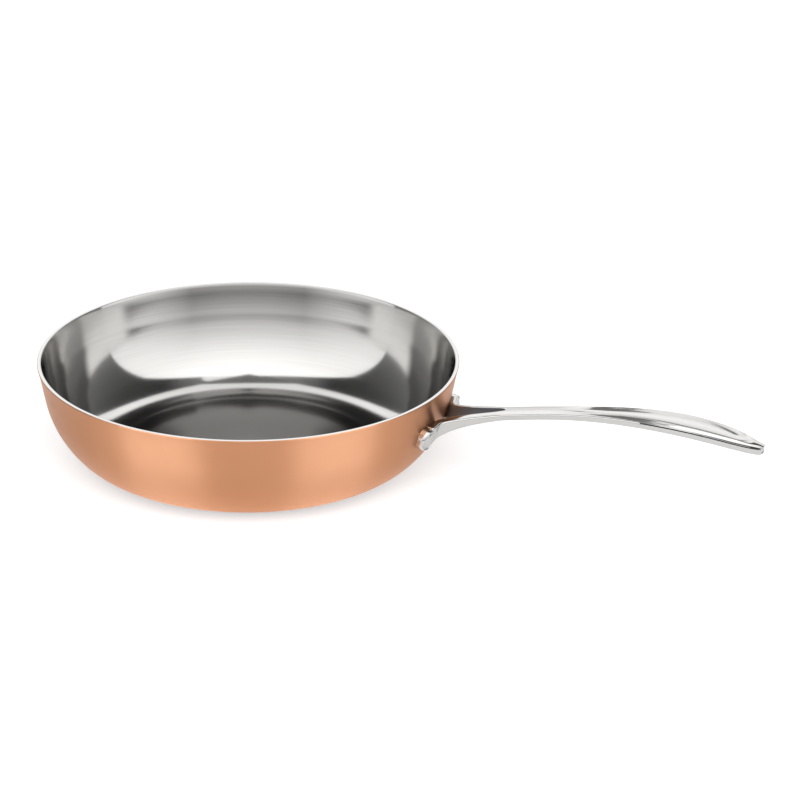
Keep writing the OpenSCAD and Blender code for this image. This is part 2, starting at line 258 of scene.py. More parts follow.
def ring_lines(tree, per_radian, per_metre, detail, roughness):
    """Fine lines that run round the pan, and the radius and height that they are drawn by."""
    where = add(tree, "ShaderNodeTexCoord")
    parts = add(tree, "ShaderNodeSeparateXYZ", {0: where.outputs["Object"]})
    flat = add(tree, "ShaderNodeCombineXYZ", {0: parts.outputs[0], 1: parts.outputs[1]})
    way_round = add(tree, "ShaderNodeVectorMath", {0: flat.outputs[0]}, operation="NORMALIZE")
    radius = add(tree, "ShaderNodeVectorMath", {0: flat.outputs[0]}, operation="LENGTH")
    along = add(tree, "ShaderNodeMath", {0: radius.outputs["Value"], 1: parts.outputs[2]},
                operation="ADD")
    way_parts = add(tree, "ShaderNodeSeparateXYZ", {0: way_round.outputs[0]})
    ring_spot = add(tree, "ShaderNodeCombineXYZ", {0: way_parts.outputs[0],
                                                   1: way_parts.outputs[1],
                                                   2: along.outputs[0]})
    line_spot = add(tree, "ShaderNodeVectorMath",
                    {0: ring_spot.outputs[0], 1: (per_radian, per_radian, per_metre)},
                    operation="MULTIPLY")
    lines = add(tree, "ShaderNodeTexNoise", {"Vector": line_spot.outputs[0], "Scale": 1.0,
                                             "Detail": detail, "Roughness": roughness})
    return lines.outputs["Fac"], radius.outputs["Value"], parts.outputs[2]


# Polished copper: warm and bright. The fine lines of the polishing cloth draw each light out into a
# soft upright band, and a thin uneven film of tarnish turns it browner in faint clouds.
copper, tree, shader = new_material("polished_copper", {
    "Metallic": 1.0, "Anisotropic": 0.95, "Anisotropic Rotation": 0.25})
tangent = add(tree, "ShaderNodeTangent", direction_type="RADIAL", axis="Z")
# polishing lines 0.7 mm apart, each a few centimetres long
lines, _, _ = ring_lines(tree, per_radian=2.2, per_metre=1400.0, detail=2.0, roughness=0.6)
# clouds of tarnish 3 to 4 cm across
where = add(tree, "ShaderNodeTexCoord")
clouds = add(tree, "ShaderNodeTexNoise", {"Vector": where.outputs["Object"], "Scale": 28.0,
                                          "Detail": 4.0, "Roughness": 0.55})
film = add(tree, "ShaderNodeMapRange", {"Value": clouds.outputs["Fac"], "From Min": 0.35,
                                        "From Max": 0.75, "To Min": 0.0, "To Max": 0.35})
tone = add(tree, "ShaderNodeMix", {0: film.outputs[0], 6: linear("#D39771"), 7: linear("#C88B64")},
           data_type="RGBA")
gloss = add(tree, "ShaderNodeMapRange", {"Value": lines, "From Min": 0.3, "From Max": 0.7,
                                         "To Min": 0.38, "To Max": 0.42})
relief = add(tree, "ShaderNodeBump", {"Height": lines, "Strength": 0.05, "Distance": 0.0001})
feed(tree, shader, {"Base Color": tone.outputs[2], "Roughness": gloss.outputs[0],
                    "Normal": relief.outputs[0], "Tangent": tangent.outputs[0]})

copper_shell = turn_on_lathe("copper_skin", layer_line(*SHEET["copper"]), copper)
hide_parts("copper_shell")
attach(copper_shell, "root")


# Aluminium core
# The thick middle layer carries the heat up the wall. Only its cut edge shows, in the rim, turned
# flush with the two outer layers and left bare.

# Turned aluminium: paler and softer than the steel beside it, so the rim shows as a bright line.
aluminium, tree, shader = new_material("turned_aluminium", {"Metallic": 1.0})
where = add(tree, "ShaderNodeTexCoord")
# turning marks about 0.4 mm apart
marks = add(tree, "ShaderNodeTexNoise", {"Vector": where.outputs["Object"], "Scale": 2500.0,
                                         "Detail": 1.0})
tone = add(tree, "ShaderNodeMix", {0: marks.outputs["Fac"], 6: linear("#E9E8E6"),
                                   7: linear("#D2D2D1")}, data_type="RGBA")
gloss = add(tree, "ShaderNodeMapRange", {"Value": marks.outputs["Fac"], "To Min": 0.22,
                                         "To Max": 0.34})
feed(tree, shader, {"Base Color": tone.outputs[2], "Roughness": gloss.outputs[0]})

aluminium_core = turn_on_lathe("aluminium_middle", layer_line(*SHEET["core"]), aluminium)
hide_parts("aluminium_core")
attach(aluminium_core, "root")


# Steel liner
# The inside is a stainless layer, brushed on the lathe, so fine lines run in rings over the floor
# and round the wall, and they stretch every reflection across themselves.

# radii and heights in metres between which the floor ends, and the wall's hollow begins and ends
FLOOR_EDGE = (0.0725, 0.0755)
HOLLOW_FOOT, HOLLOW_TOP, HOLLOW_LEAN = (0.0315, 0.042), (0.043, 0.0575), 0.085
# Ring-brushed stainless steel: a neutral, slightly soft mirror, with each light drawn out into a
# band across the brush lines.
brushed_steel, tree, shader = new_material("ring_brushed_stainless_steel", {
    "Metallic": 1.0, "Anisotropic": 0.8, "Anisotropic Rotation": 0.25})
tangent = add(tree, "ShaderNodeTangent", direction_type="RADIAL", axis="Z")
# real brush lines are 0.1 mm apart, drawn here 1 mm apart so that they show in a picture
lines, radius, height = ring_lines(tree, per_radian=1.6, per_metre=1000.0, detail=3.0,
                                   roughness=0.7)
tone = add(tree, "ShaderNodeMix", {0: lines, 6: linear("#CFCECC"), 7: linear("#C3C2C0")},
           data_type="RGBA")
# the flat floor is coloured darker than the wall: painted shade that dims what the floor mirrors
painted_shade_floor_edge = add(tree, "ShaderNodeMapRange", {"Value": radius, "From Min": FLOOR_EDGE[0],
                                              "From Max": FLOOR_EDGE[1]})
tone = add(tree, "ShaderNodeMix", {0: painted_shade_floor_edge.outputs[0], 6: linear("#B0AFAD"),
                                   7: tone.outputs[2]}, data_type="RGBA")
gloss = add(tree, "ShaderNodeMapRange", {"Value": lines, "From Min": 0.3, "From Max": 0.7,
                                         "To Min": 0.09, "To Max": 0.12})
# the belt brushing leaves the wall's straight part slightly hollow, by up to 5 degrees of lean
low = add(tree, "ShaderNodeMapRange", {"Value": height, "From Min": HOLLOW_FOOT[0],
                                       "From Max": HOLLOW_FOOT[1]})
lean = add(tree, "ShaderNodeMapRange", {"Value": height, "From Min": HOLLOW_TOP[0],
                                        "From Max": HOLLOW_TOP[1], "To Min": HOLLOW_LEAN,
                                        "To Max": 0.0})
lean = add(tree, "ShaderNodeMath", {0: low.outputs[0], 1: lean.outputs[0]}, operation="MULTIPLY")
lean = add(tree, "ShaderNodeCombineXYZ", {2: lean.outputs[0]})
face = add(tree, "ShaderNodeNewGeometry")
face = add(tree, "ShaderNodeVectorMath", {0: face.outputs["Normal"], 1: lean.outputs[0]},
           operation="ADD")
face = add(tree, "ShaderNodeVectorMath", {0: face.outputs[0]}, operation="NORMALIZE")
relief = add(tree, "ShaderNodeBump", {"Height": lines, "Strength": 0.08, "Distance": 0.0001,
                                      "Normal": face.outputs[0]})
feed(tree, shader, {"Base Color": tone.outputs[2], "Roughness": gloss.outputs[0],
                    "Normal": relief.outputs[0], "Tangent": tangent.outputs[0]})

steel_liner = turn_on_lathe("steel_inside", layer_line(*SHEET["liner"]), brushed_steel)
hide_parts("steel_liner")
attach(steel_liner, "root")


# Rivets
# Two solid stainless rivets hold the handle. Each was set hot through ear and wall, with a low
# domed head outside, sunk in the ear's round recess, and a wider flat one inside the pan.
RIVET_SPACING, RIVET_Z = 50.0, 35.8
SHANK_D, HEAD_D, HEAD_H = 6.0, 10.0, 1.8
INNER_HEAD_D, INNER_HEAD_H = 12.0, 1.5
EAR_D, EAR_T, RECESS_DEPTH = 13.0, 4.6, 0.6
SEAT_GAP = 0.1
DOME_D, DOME_FOOT, DOME_STEPS = 8.4, 0.22, 14


def wall_turn_at(z):
    """The turn of the outer face at a height below the lip."""
    return math.degrees(math.acos((BELLY_Z - z) / BELLY_R)) if z < WALL_FOOT_Z else WALL_TURN


def wall_r(z):
    """The radius of the outer face there."""
    if z < WALL_FOOT_Z:
        return BELLY_CENTRE[0] + BELLY_R * sind(wall_turn_at(z))
    return WALL_FOOT_R + (z - WALL_FOOT_Z) / math.tan(math.radians(WALL_TURN))


RIVET_TURN = math.degrees(math.asin(RIVET_SPACING / 2 / wall_r(RIVET_Z)))
RIVET_LEAN = 90 - wall_turn_at(RIVET_Z)
RIVET_PLACE = (wall_r(RIVET_Z), 0.0, RIVET_Z)
HEAD_SEAT = EAR_T - RECESS_DEPTH
INNER_SEAT = SHEET["liner"][1] + SEAT_GAP + INNER_HEAD_D ** 2 / 8 / (BELLY_R - SHEET["liner"][1])
RIVET_SEAT = {"lean": 90 + RIVET_LEAN, "place": RIVET_PLACE}


def dome_line(diameter, height, edge=0.25, edge_h=0.06):
    """A low dome from its rounded edge to its top, as a radius and a height over its flat seat."""
    dome_r = (diameter ** 2 / 4 + height ** 2) / (2 * height)
    dome_turn = math.degrees(math.asin(diameter / 2 / dome_r))
    turns = [dome_turn * (1 - k / DOME_STEPS) for k in range(DOME_STEPS + 1)]
    dome = [(dome_r * sind(a), height - dome_r + dome_r * cosd(a)) for a in turns]
    return [(diameter / 2 - edge, 0.0), (diameter / 2 - 0.3 * edge, edge_h)] + dome[1:]


# Tumbled stainless steel: bright and smooth, with soft dents that break up what a head mirrors.
tumbled_steel, tree, shader = new_material("tumbled_rivet_steel", {"Metallic": 1.0})
where = add(tree, "ShaderNodeTexCoord")
# shallow dents a millimetre or two across, left by setting and tumbling
dents = add(tree, "ShaderNodeTexNoise", {"Vector": where.outputs["Object"], "Scale": 700.0,
                                         "Detail": 3.0})
tone = add(tree, "ShaderNodeMix", {0: dents.outputs["Fac"], 6: linear("#D6D5D3"),
                                   7: linear("#C4C3C1")}, data_type="RGBA")
gloss = add(tree, "ShaderNodeMapRange", {"Value": dents.outputs["Fac"], "To Min": 0.1,
                                         "To Max": 0.22})
relief = add(tree, "ShaderNodeBump", {"Height": dents.outputs["Fac"], "Strength": 0.12,
                                      "Distance": 0.0002})
feed(tree, shader, {"Base Color": tone.outputs[2], "Roughness": gloss.outputs[0],
                    "Normal": relief.outputs[0]})

# the setting die leaves a flat collar and a fine groove round the outer dome
COLLAR_LINE = [(4.75, 0.0), (4.95, 0.1), (4.9, 0.25), (4.55, 0.28), (4.3, 0.12)]
outer_dome = dome_line(DOME_D, HEAD_H - DOME_FOOT)[1:]
outer_head = [(r, HEAD_SEAT + z) for r, z in COLLAR_LINE]
outer_head += [(r, HEAD_SEAT + DOME_FOOT + z) for r, z in outer_dome]
inner_head = [(r, -INNER_SEAT - z) for r, z in dome_line(INNER_HEAD_D, INNER_HEAD_H)][::-1]
rivet_line = inner_head + [(SHANK_D / 2, -INNER_SEAT), (SHANK_D / 2, HEAD_SEAT)] + outer_head
for name, side in (("left_rivet", -1), ("right_rivet", 1)):
    rivet = turn_on_lathe(name + "_set", rivet_line, tumbled_steel, steps=64,
                          turn=side * RIVET_TURN, **RIVET_SEAT)
    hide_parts(name)
    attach(rivet, "root")


# Handle
# One stainless casting, ground and polished. Its fork ends in two round ears that lie flat on the
# wall, the neck is a plain rounded bar, and the grip is hollowed on top behind a raised edge.
HANDLE_L, TIP_Z, ROOT_RISE, TIP_DROP = 180.0, 46.5, 10.3, 17.0
FORK_L, NECK_W, NECK_L, GRIP_W = 32.5, 13.4, 58.0, 22.8
NECK_SIDE, GRIP_SIDE, CROWN_H = 3.3, 3.9, 1.0
WIDEST_SHARE, NOSE_SHARE, NOSE_POWER = 0.62, 0.6, 2.6
ARM_W, ARM_H, ARM_SPREAD = 4.9, 10.6, 9
ARM_REACH, EAR_SHARE, EAR_RUN = 0.76, 0.56, 1.9
DISH_START, DISH_DEPTH, DISH_LIP_H, DISH_BORDER, DISH_END = 60.0, 2.0, 1.6, 3.0, 6.0
DISH_RAMP, DISH_CLOSE = 0.3, 1.6
EDGE_ROUND, BELLY_DROP, SPINE = NECK_SIDE * 0.22, NECK_SIDE * 0.3, ARM_W * 0.28
TIP_X, CROTCH_X = PAN_R + HANDLE_L, PAN_R + FORK_L
EAR_X = wall_r(RIVET_Z) + EAR_T * cosd(RIVET_LEAN)
EAR_TOP_Z = RIVET_Z - EAR_T / 2 * sind(RIVET_LEAN) + EAR_D / 2 * cosd(RIVET_LEAN)
DISH_X, DISH_END_X = PAN_R + DISH_START, TIP_X - DISH_END
GRIP_X, GRIP_SPAN = PAN_R + NECK_L, HANDLE_L - NECK_L


def ease(u):
    """A smooth step from 0 to 1."""
    u = min(1.0, max(0.0, u))
    return u * u * (3 - 2 * u)


def mix(a, b, u):
    """The value a share u of the way from a to b."""
    return a + (b - a) * u


def edge_z(x):
    """Height of the handle's edge line, a smooth arch from the ears to the tip."""
    span = TIP_X - EAR_X
    u = max(0.0, (x - EAR_X) / span)
    rise, drop = math.tan(math.radians(ROOT_RISE)), math.tan(math.radians(TIP_DROP))
    return ((1 + 2 * u) * (1 - u) ** 2 * EAR_TOP_Z + u * (1 - u) ** 2 * span * rise
            + u * u * (3 - 2 * u) * TIP_Z + u * u * (1 - u) * span * drop)


def half_w(x):
    """Half the handle's width: the neck's, then the grip's, closing in a blunt nose."""
    u = (x - GRIP_X) / GRIP_SPAN
    wide = mix(NECK_W, GRIP_W, ease(u / WIDEST_SHARE)) / 2
    nose = min(1.0, max(0.0, (u - NOSE_SHARE) / (1 - NOSE_SHARE)))
    return max(EDGE_ROUND, wide * math.sqrt(max(0.0, 1 - nose ** NOSE_POWER)))


def crest_w(x):
    """Half the distance between the crests of the dish's raised edge."""
    grow = min(1.0, max(0.0, (x - DISH_X) / (GRIP_SPAN * WIDEST_SHARE - DISH_X + GRIP_X)))
    full = max(half_w(x) - DISH_BORDER, SPINE * 1.5)
    return min(full, mix(NECK_W / 2 * 0.4, GRIP_W / 2 - DISH_BORDER, grow))


def dish(x):
    """How fully the top is hollowed, from 0 on the neck to 1 along the grip and 0 at the tip."""
    start = ease((x - DISH_X) / (GRIP_SPAN * DISH_RAMP))
    return start * ease((DISH_END_X - x) / (DISH_END * DISH_CLOSE))


def side_h(x):
    """Height of the handle's upright side, which grows along the grip and rounds off at the tip."""
    gone = 0.9 * min(1.0, max(0.0, 1 - (TIP_X - x) / GRIP_SIDE)) ** 2
    return mix(NECK_SIDE, GRIP_SIDE, ease((x - GRIP_X) / GRIP_SPAN)) * math.sqrt(1 - gone)


def half_section(x):
    """Half of a cross-section as (y, z), from the middle of the top to the middle underneath."""
    w, c, z, s, d = half_w(x), crest_w(x), edge_z(x), side_h(x), dish(x)
    rise = mix(CROWN_H, DISH_LIP_H, ease((x - DISH_X) / (GRIP_SPAN / 2)))
    r = min(EDGE_ROUND, w * 0.3, s * 0.26)
    crest_z = z + rise * mix(0.86, 1, d)
    ridge = mix(0.9, 0.42, d) * min(1.0, c / 3)
    out_y, out_z = max(c + r, w - 1.7 * r), z + 0.42 * r
    spine = min(SPINE, c * 0.6)
    turn_y, turn_z = c * mix(0.45, 0.66, d), z + rise * 0.98 - DISH_DEPTH * d * 0.62
    floor_z = z + rise - DISH_DEPTH * d
    # the dish, its crest and border, the rounded edge, the side, and the bellied underside
    return [
        (spine, floor_z),
        (mix(spine, turn_y, 0.55), mix(floor_z, turn_z, mix(0.5, 0.38, d))),
        (turn_y, turn_z),
        (c - ridge, mix(turn_z, crest_z, 1 - ridge / max(0.1, c - turn_y))),
        (c, crest_z + 0.06 * d),
        (min(c + ridge, mix(c, out_y, 0.45)), mix(crest_z, out_z, 0.12)),
        (mix(c, out_y, 0.6), mix(crest_z, out_z, 0.5)),
        (out_y, out_z),
        (w - 0.42 * r, z + 0.1 * r),
        (w, z - 0.75 * r),
        (w, z - 1.6 * r),
        (w, z - s + 1.6 * r),
        (w - 0.1 * r, z - s + 0.6 * r),
        (w - 1.0 * r, z - s - 0.02),
        (w - 2.4 * r, z - s - 0.2 * BELLY_DROP),
        (mix(spine, w, 0.45), z - s - 0.75 * BELLY_DROP),
        (min(SPINE, w * 0.3), z - s - BELLY_DROP)]


ARM_MID_R = wall_r(RIVET_Z) + EAR_T / 2 * cosd(RIVET_LEAN)
FLAT_TURN = RIVET_TURN - math.degrees(math.asin(EAR_D * EAR_SHARE / ARM_MID_R))
# the far arm's middle line leaves the neck aslant and bends to lie along the wall
ARM_BENDS = [Vector((CROTCH_X, half_w(CROTCH_X) - ARM_W / 2))]
ARM_BENDS.append(ARM_BENDS[0]
                 + FORK_L * ARM_REACH * Vector((-cosd(ARM_SPREAD), sind(ARM_SPREAD))))
ARM_BENDS.append(ARM_MID_R * Vector((cosd(FLAT_TURN), sind(FLAT_TURN)))
                 + EAR_T * EAR_RUN * Vector((sind(FLAT_TURN), -cosd(FLAT_TURN))))
ARM_BENDS.append(ARM_MID_R * Vector((cosd(FLAT_TURN), sind(FLAT_TURN))))


def arm_point(t):
    """Where the arm's middle line is, a share t of the way from the neck to the ear."""
    a, b, c, d = ARM_BENDS
    return (1 - t) ** 3 * a + 3 * (1 - t) ** 2 * t * b + 3 * (1 - t) * t * t * c + t ** 3 * d


def arm_way(t):
    """The way the arm's middle line runs there."""
    a, b, c, d = ARM_BENDS
    return ((1 - t) ** 2 * (b - a) + 2 * (1 - t) * t * (c - b) + t * t * (d - c)).normalized()


def arm_loop(spot, way, along):
    """One cross-section of the far arm, from its inner top edge round the outside and back."""
    out = Vector((way[1], -way[0]))
    top, h = edge_z(spot[0]), mix(NECK_SIDE, ARM_H, along ** 1.4)
    lean, w, r = RIVET_LEAN * ease(2 * along - 1), ARM_W / 2, EDGE_ROUND
    rise, sag = CROWN_H * mix(1, 0.4, along), BELLY_DROP * (1 - along)
    inner = w + 1.0 * ease(2 * along - 1)
    crown = [(-inner + 0.45 * r, rise), (-0.52 * w, rise), (-0.35 * w, 0.97 * rise),
             (-0.18 * w, 0.92 * rise), (0.0, 0.84 * rise), (0.17 * w, 0.74 * rise),
             (0.34 * w, 0.6 * rise)]
    flank = [(w - 1.7 * r, 0.42 * r + 0.1 * rise), (w - 0.42 * r, 0.1 * r), (w, -0.75 * r),
             (w, -1.6 * r), (w, 1.6 * r - h), (w - 0.1 * r, 0.6 * r - h), (w - r, -h - 0.02),
             (w - 2.4 * r, -h - 0.2 * sag), (-0.2 * w, -h - 0.75 * sag), (-inner + r, -h - sag)]
    inside = [(-inner + 0.1 * r, 0.6 * r - h - sag), (-inner, 1.7 * r - h - sag),
              (-inner, rise - 1.7 * r), (-inner, rise - 0.6 * r)]
    points = []
    for across, up in crown + flank + inside:
        a = across + (up + h / 2) * math.tan(math.radians(lean))
        points.append((spot[0] + out[0] * a, spot[1] + out[1] * a, top + up))
    return points


# loops along the grip, each arm and each ear, and points in half a loop and on an arm's inside
GRIP_STEPS, ARM_STEPS, EAR_STEPS, HALF_N, INSIDE_N = 44, 16, 3, 17, 4
ARM_END_SHARE, WELD = 0.8, 1e-6
points, quads = [], []
stations = [CROTCH_X + (TIP_X - CROTCH_X) * sind(90 * k / GRIP_STEPS)
            for k in range(GRIP_STEPS + 1)]
for x in stations:
    half = half_section(x)
    points += [(x, y, z) for y, z in half] + [(x, -y, z) for y, z in half[::-1]]
grip_loops = [list(range(k * 2 * HALF_N, (k + 1) * 2 * HALF_N)) for k in range(GRIP_STEPS + 1)]
first = half_section(CROTCH_X)
# the short wall between the arms, where they leave the neck
wall_z = [first[-1][1] + 0.6 * EDGE_ROUND, first[-1][1] + 1.7 * EDGE_ROUND,
          first[0][1] - 1.7 * EDGE_ROUND, first[0][1] - 0.6 * EDGE_ROUND]
far_wall = list(range(len(points), len(points) + INSIDE_N))
points += [(CROTCH_X, first[0][0], z) for z in wall_z]
near_wall = list(range(len(points), len(points) + INSIDE_N))
points += [(CROTCH_X, -first[0][0], z) for z in wall_z]
far_loops = [grip_loops[0][:HALF_N] + far_wall]
near_loops = [grip_loops[0][HALF_N:][::-1] + near_wall]
arm_shapes = [arm_loop(arm_point(k / ARM_STEPS), arm_way(k / ARM_STEPS), k / ARM_STEPS)
              for k in range(1, ARM_STEPS + 1)]
for k in range(1, EAR_STEPS + 1):
    a = mix(FLAT_TURN, RIVET_TURN, ARM_END_SHARE * k / EAR_STEPS)
    arm_shapes.append(arm_loop(ARM_MID_R * Vector((cosd(a), sind(a))), (-sind(a), cosd(a)), 1.0))
for shape in arm_shapes:
    far_loops.append(list(range(len(points), len(points) + len(shape))))
    points += shape
    near_loops.append(list(range(len(points), len(points) + len(shape))))
    points += [(x, -y, z) for x, y, z in shape]
for loops in (grip_loops, far_loops, near_loops):
    for a, b in zip(loops, loops[1:]):
        quads += [(a[j], a[j - 1], b[j - 1], b[j]) for j in range(len(a))]
quads += [(far_wall[j], near_wall[j], near_wall[j - 1], far_wall[j - 1])
          for j in range(1, INSIDE_N)]
quads.append((grip_loops[0][0], grip_loops[0][-1], near_wall[-1], far_wall[-1]))
quads.append((far_wall[0], near_wall[0], grip_loops[0][HALF_N], grip_loops[0][HALF_N - 1]))
quads += [tuple(grip_loops[-1]), tuple(far_loops[-1]), tuple(near_loops[-1])]

body_mesh = bpy.data.meshes.new("handle_body")
body_mesh.from_pydata([[v / 1000 for v in p] for p in points], [], quads)
work = bmesh.new()
work.from_mesh(body_mesh)
# the first bands of the two arms share the grip's loop, whose own closing faces are inside
inside_faces = [f for f in work.faces if len(set(v.index for v in f.verts)) < len(f.verts)]
bmesh.ops.delete(work, geom=inside_faces, context="FACES")
bmesh.ops.recalc_face_normals(work, faces=work.faces)
work.to_mesh(body_mesh)
work.free()
handle = bpy.data.objects.new("handle_casting", body_mesh)
bpy.context.scene.collection.objects.link(handle)
smoother = handle.modifiers.new("smooth", "SUBSURF")
smoother.levels = smoother.render_levels = 2


def ear_line():
    """A thick disc with a rounded outer edge, which starts inside the wall and is cut to it."""
    round_in, round_down, sunk = 1.0, 2.2, -1.0
    rim = [(EAR_D / 2 - round_in * (1 - cosd(a)), EAR_T - round_down * (1 - sind(a)))
           for a in range(0, 91, 9)]
    return [(0.0, sunk), (EAR_D / 2, sunk)] + rim + [(0.0, EAR_T)]


def recess_line():
    """The cutter for the head's recess: a chamfered foot, a plain wall and a broken outer edge."""
    reach, foot = HEAD_D / 2 + 0.4, 0.2
    mouth, above = reach + 0.4, EAR_T + 2.0
    return [(0.0, HEAD_SEAT), (reach - foot, HEAD_SEAT), (reach, HEAD_SEAT + foot),
            (reach, EAR_T - 0.3), (reach + 0.12, EAR_T - 0.1), (mouth, EAR_T + 0.1),
            (mouth, above), (0.0, above)]


def wall_cutter_line():
    """The room that the pan's wall takes up, with the seat gap, from the axis to above the rim."""
    above = PAN_H + 5.0
    return face_line(-SEAT_GAP, PAN_H) + [(lip_x(-SEAT_GAP, PAN_H), above), (0.0, above)]


def at_ear(name, line, side):
    """A blank or cutter turned in the place of one of the ears."""
    return turn_on_lathe(name, line, None, steps=72, turn=side * RIVET_TURN, **RIVET_SEAT)


tools = [("UNION", at_ear("ear_blank", ear_line(), side)) for side in (-1, 1)]
tools.append(("DIFFERENCE", turn_on_lathe("wall_cutter", wall_cutter_line(), None, steps=240)))
tools += [("DIFFERENCE", at_ear("recess_cutter", recess_line(), side)) for side in (-1, 1)]
for operation, tool in tools:
    cut = handle.modifiers.new("cut", "BOOLEAN")
    cut.operation, cut.object, cut.solver = operation, tool, "EXACT"
settled = handle.evaluated_get(bpy.context.evaluated_depsgraph_get())
solid = bpy.data.meshes.new_from_object(settled)
handle.modifiers.clear()
handle.data = solid
for _, tool in tools:
    bpy.data.objects.remove(tool)
work = bmesh.new()
work.from_mesh(solid)
bmesh.ops.remove_doubles(work, verts=work.verts, dist=WELD)
for f in work.faces:
    f.smooth = True
for e in work.edges:
    e.smooth = len(e.link_faces) == 2 and e.calc_face_angle(0.0) < SHARP_EDGE
work.to_mesh(solid)
work.free()

# Polished cast stainless: a slightly grey, soft mirror. Grinding left faint lines along its
# length, and its faces are not quite flat, so reflections waver a little.
cast_steel, tree, shader = new_material("polished_cast_stainless_steel", {"Metallic": 1.0})
where = add(tree, "ShaderNodeTexCoord")
# grinding lines 0.5 mm apart along the handle, and waves a centimetre or so long
line_spot = add(tree, "ShaderNodeVectorMath",
                {0: where.outputs["Object"], 1: (40.0, 2000.0, 2000.0)}, operation="MULTIPLY")
lines = add(tree, "ShaderNodeTexNoise", {"Vector": line_spot.outputs[0], "Scale": 1.0,
                                         "Detail": 2.0})
waves = add(tree, "ShaderNodeTexNoise", {"Vector": where.outputs["Object"], "Scale": 90.0,
                                         "Detail": 1.0})
tone = add(tree, "ShaderNodeMix", {0: lines.outputs["Fac"], 6: linear("#D4D3D1"),
                                   7: linear("#C8C7C5")}, data_type="RGBA")
gloss = add(tree, "ShaderNodeMapRange", {"Value": lines.outputs["Fac"], "From Min": 0.3,
                                         "From Max": 0.7, "To Min": 0.1, "To Max": 0.17})
relief = add(tree, "ShaderNodeBump", {"Height": lines.outputs["Fac"], "Strength": 0.03,
                                      "Distance": 0.0001})
relief = add(tree, "ShaderNodeBump", {"Height": waves.outputs["Fac"], "Strength": 0.02,
                                      "Distance": 0.001, "Normal": relief.outputs[0]})
feed(tree, shader, {"Base Color": tone.outputs[2], "Roughness": gloss.outputs[0],
                    "Normal": relief.outputs[0]})

# Blasted cast stainless: the polishing wheel doesn't reach between the arms, so their inner faces
# stay as blasted, dull, with a fine even grain. Their darker colour is painted shade between the
# arms.
shaded_blasted_steel, tree, shader = new_material("blasted_cast_steel_painted_shade", {
    "Metallic": 1.0, "Roughness": 0.55})
where = add(tree, "ShaderNodeTexCoord")
# grain of blasting grit, 0.3 mm across
grain = add(tree, "ShaderNodeTexNoise", {"Vector": where.outputs["Object"], "Scale": 3300.0,
                                         "Detail": 2.0})
tone = add(tree, "ShaderNodeMix", {0: grain.outputs["Fac"], 6: linear("#7B8086"),
                                   7: linear("#6C7177")}, data_type="RGBA")
relief = add(tree, "ShaderNodeBump", {"Height": grain.outputs["Fac"], "Strength": 0.2,
                                      "Distance": 0.0001})
feed(tree, shader, {"Base Color": tone.outputs[2], "Normal": relief.outputs[0]})

# Dark steel: the narrow bevel along the grip's outer edge is coloured near black, a painted shade
# line that shows as a thin black line between the bright border and the side.
painted_shade_bevel, tree, shader = new_material("painted_shade_line_steel", {
    "Metallic": 1.0, "Base Color": linear("#3E3E40"), "Roughness": 0.35})

# The blasted faces with painted shade look inwards from the arms, or along the handle from between
# them. The bevel's faces, with the painted shade line, lean outwards and lie close to the grip's
# edge line.
PAINTED_SHADE_END_X, PAINTED_SHADE_HALF_W, LOOKING = CROTCH_X + 0.6, 4.0, 0.6
BEVEL_START_X, BEVEL_W, BEVEL_RISE = 232.0, 1.3, 0.4
BEVEL_UP, BEVEL_OUT = (0.22, 0.8), 0.2
solid.materials.clear()
for finish in (cast_steel, shaded_blasted_steel, painted_shade_bevel):
    solid.materials.append(finish)
for f in solid.polygons:
    x, y, z = f.center * 1000
    out = f.normal.y if y > 0 else -f.normal.y
    between = f.normal.x < -LOOKING and abs(y) < PAINTED_SHADE_HALF_W
    # faces between the arms take the blasted finish with painted shade
    if x < PAINTED_SHADE_END_X and (out < -LOOKING or between):
        f.material_index = 1
    leaning = BEVEL_UP[0] < f.normal.z < BEVEL_UP[1] and out > BEVEL_OUT
    at_edge = abs(y) > half_w(x) - BEVEL_W and z < edge_z(x) + BEVEL_RISE
    # the bevel's faces take the painted shade line
    if x > BEVEL_START_X and leaning and at_edge:
        f.material_index = 2
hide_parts("handle")
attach(handle, "root")


# Floor
# A plain white table that the pan stands on, wide enough to fill the picture. It lies a fifth of a
# millimetre low, clear of the base.

TABLE_DROP = 0.0002
CAMERA_GLOW, MIRROR_GLOW = 0.58, 0.3
PAINTED_BASE_GLOW, BASE_REACH = 2.3, (0.1, 0.125)
floor_mesh = bpy.data.meshes.new("table")
floor_mesh.from_pydata([(-5, -4, 0), (5, -4, 0), (5, 8, 0), (-5, 8, 0)], [], [(0, 1, 2, 3)])
floor = bpy.data.objects.new("table", floor_mesh)
bpy.context.scene.collection.objects.link(floor)
floor.location.z = -TABLE_DROP
# Matt white laminate: even and without shine, so it shows nothing but the pan's soft shadow. A glow
# of its own brings it up to the photo's white for the camera, and lights what the metal mirrors.
white_table, tree, shader = new_material("matt_white_laminate", {
    "Base Color": linear("#D2D2D2"), "Roughness": 0.9, "Specular IOR Level": 0.0,
    "Emission Color": (1.0, 1.0, 1.0, 1.0)})
ray = add(tree, "ShaderNodeLightPath")
for_camera = add(tree, "ShaderNodeMath", {0: ray.outputs["Is Camera Ray"], 1: CAMERA_GLOW},
                 operation="MULTIPLY")
mirrored = add(tree, "ShaderNodeMath", {0: ray.outputs["Is Glossy Ray"],
                                        1: ray.outputs["Is Transmission Ray"]}, operation="MAXIMUM")
# none of the mirrored glow goes on from the copper to the table
in_metal = add(tree, "ShaderNodeMapRange", {"Value": ray.outputs["Diffuse Depth"],
                                            "To Min": MIRROR_GLOW, "To Max": 0.0})
